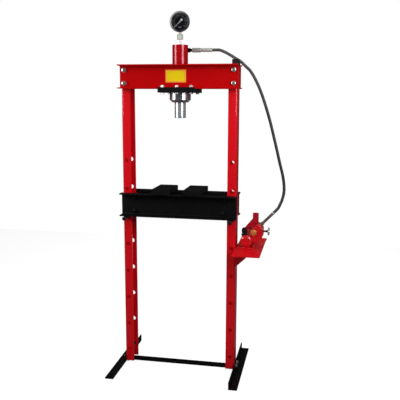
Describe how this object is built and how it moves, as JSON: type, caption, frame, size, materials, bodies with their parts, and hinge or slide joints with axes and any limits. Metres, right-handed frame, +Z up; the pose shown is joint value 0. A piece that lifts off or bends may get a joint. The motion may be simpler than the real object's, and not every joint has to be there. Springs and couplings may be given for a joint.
{
  "type": "hydraulic press",
  "caption": "Floor-standing H-frame hydraulic shop press with an adjustable pinned bed, a gauge-topped cylinder and a lever hand pump joined by a hose.",
  "frame": {"origin": "on the floor, at the middle of the base crossbar's underside, midway between the posts", "axes": "+X to the right along the bed, towards the pump; +Y to the back; +Z up along the ram"},
  "size_m": [0.896, 0.526, 1.875],
  "materials": {
    "red_paint": "glossy",
    "black_paint": "semi-gloss",
    "black_steel": "oil-blackened",
    "zinc_plate": "zinc plated",
    "yellow_label": "satin",
    "turned_steel": "turned",
    "hard_chrome": "polished",
    "bronze": "machined",
    "seal_rubber": "smooth",
    "spring_steel": "drawn",
    "plated_fitting": "plated",
    "brass": "machined",
    "yellow_brass": "yellow plated",
    "dark_fitting": "painted",
    "gauge_black": "glossy",
    "gauge_rim": "satin",
    "dial_black": "matt",
    "clear_glass": "clear",
    "needle_white": "matt",
    "hose_rubber": "smooth",
    "black_plastic": "moulded"
  },
  "bodies": {
    "frame": {"post_left": "red_paint", "post_right": "red_paint", "head_front": "red_paint", "head_rear": "red_paint", "head_bolts": "zinc_plate", "head_washers": "zinc_plate", "head_nuts": "zinc_plate", "foot_left": "black_paint", "foot_right": "black_paint", "crossbar": "black_paint", "foot_bolts": "zinc_plate", "foot_nuts": "zinc_plate", "label_plate": "yellow_label", "ram_mount_plate": "black_paint", "mount_bolts": "zinc_plate", "mount_nuts": "zinc_plate", "cylinder_tube": "red_paint", "lock_collar": "turned_steel", "ram_guide": "bronze", "return_spring": "spring_steel", "gauge_nipple": "plated_fitting", "gauge_swivel_nut": "plated_fitting", "gauge_socket": "brass", "gauge_case": "gauge_black", "gauge_bezel": "gauge_rim", "gauge_dial": "dial_black", "gauge_window": "clear_glass", "gauge_movement": "brass", "cylinder_adapter": "dark_fitting", "coupler_sleeve": "plated_fitting", "hose_ferrule": "plated_fitting", "hose": "hose_rubber", "hose_guide": "black_plastic", "hose_end": "plated_fitting", "pump_bracket": "red_paint", "pump_body": "red_paint", "reservoir": "red_paint", "reservoir_end": "red_paint", "filler_plug": "seal_rubber", "pump_bolts": "zinc_plate", "pump_nuts": "zinc_plate", "plunger_gland": "black_steel", "pivot_pin": "zinc_plate", "relief_plug": "yellow_brass"},
    "bed": {"bed_front": "black_paint", "bed_rear": "black_paint", "bed_spacers": "black_paint", "bed_bolts": "black_steel", "bed_nuts": "black_steel", "press_plate_left": "black_paint", "press_plate_right": "black_paint"},
    "left_pin": {"bed_pin_left": "black_steel"},
    "right_pin": {"bed_pin_right": "black_steel"},
    "ram": {"ram": "hard_chrome", "piston_seal": "seal_rubber"},
    "needle": {"gauge_needle": "needle_white"},
    "lever": {"pump_lever": "red_paint", "link_pin": "zinc_plate"},
    "plunger": {"plunger": "black_steel"},
    "valve": {"release_valve": "plated_fitting"}
  },
  "joints": [
    {"name": "ram_slide", "type": "slide", "parent": "frame", "child": "ram", "axis": [0, 0, -1], "range_m": [0, 0.15], "stiffness_N_per_m": 800, "springref_m": -0.15, "deforming": ["return_spring"]},
    {"name": "bed_lift", "type": "slide", "parent": "frame", "child": "bed", "axis": [0, 0, 1], "range_m": [0, 0.298]},
    {"name": "left_pin_pull", "type": "slide", "parent": "frame", "child": "left_pin", "axis": [0, -1, 0], "range_m": [0, 0.23]},
    {"name": "right_pin_pull", "type": "slide", "parent": "frame", "child": "right_pin", "axis": [0, -1, 0], "range_m": [0, 0.23]},
    {"name": "needle_turn", "type": "hinge", "parent": "frame", "child": "needle", "pos_m": [0, -0.005, 1.823], "axis": [0, 1, 0], "range_deg": [0, 270], "stiffness_Nm_per_rad": 0.0005, "springref_deg": -28.65},
    {"name": "lever_swing", "type": "hinge", "parent": "frame", "child": "lever", "pos_m": [0.411, -0.045, 0.778], "axis": [0, 1, 0], "range_deg": [-3, 20]},
    {"name": "plunger_slide", "type": "slide", "parent": "frame", "child": "plunger", "axis": [0, 0, 1], "range_m": [-0.0035, 0.0223]},
    {"name": "valve_turn", "type": "hinge", "parent": "frame", "child": "valve", "pos_m": [0.45, -0.012, 0.768], "axis": [1, 0, 0], "range_deg": [0, 360]}
  ],
  "couplings": [
    {"joint": "plunger_slide", "follows": "lever_swing", "m_per_rad": 0.0632}
  ]
}
